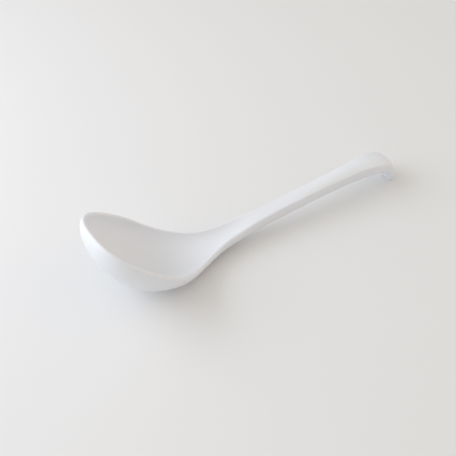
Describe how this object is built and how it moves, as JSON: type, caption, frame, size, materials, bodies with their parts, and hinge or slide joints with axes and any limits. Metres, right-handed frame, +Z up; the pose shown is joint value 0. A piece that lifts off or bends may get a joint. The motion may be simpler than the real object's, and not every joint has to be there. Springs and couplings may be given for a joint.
{
  "type": "soup spoon",
  "caption": "Deep oval soup spoon with a steep rim, a troughed neck, a slim handle and a flared tip that curls down to the table as a hook.",
  "frame": {"origin": "on the table plane, under the middle of the spoon's box in X and Y", "axes": "+X from the bowl's tip towards the hook, +Y across the bowl, +Z up; the table is z = 0"},
  "size_m": [0.1776, 0.0504, 0.0435],
  "materials": {
    "white_melamine": "satin to soft gloss, moulded white melamine"
  },
  "bodies": {
    "root": {"bowl": "white_melamine", "foot": "white_melamine", "neck": "white_melamine", "handle": "white_melamine", "hook": "white_melamine"}
  },
  "joints": []
}
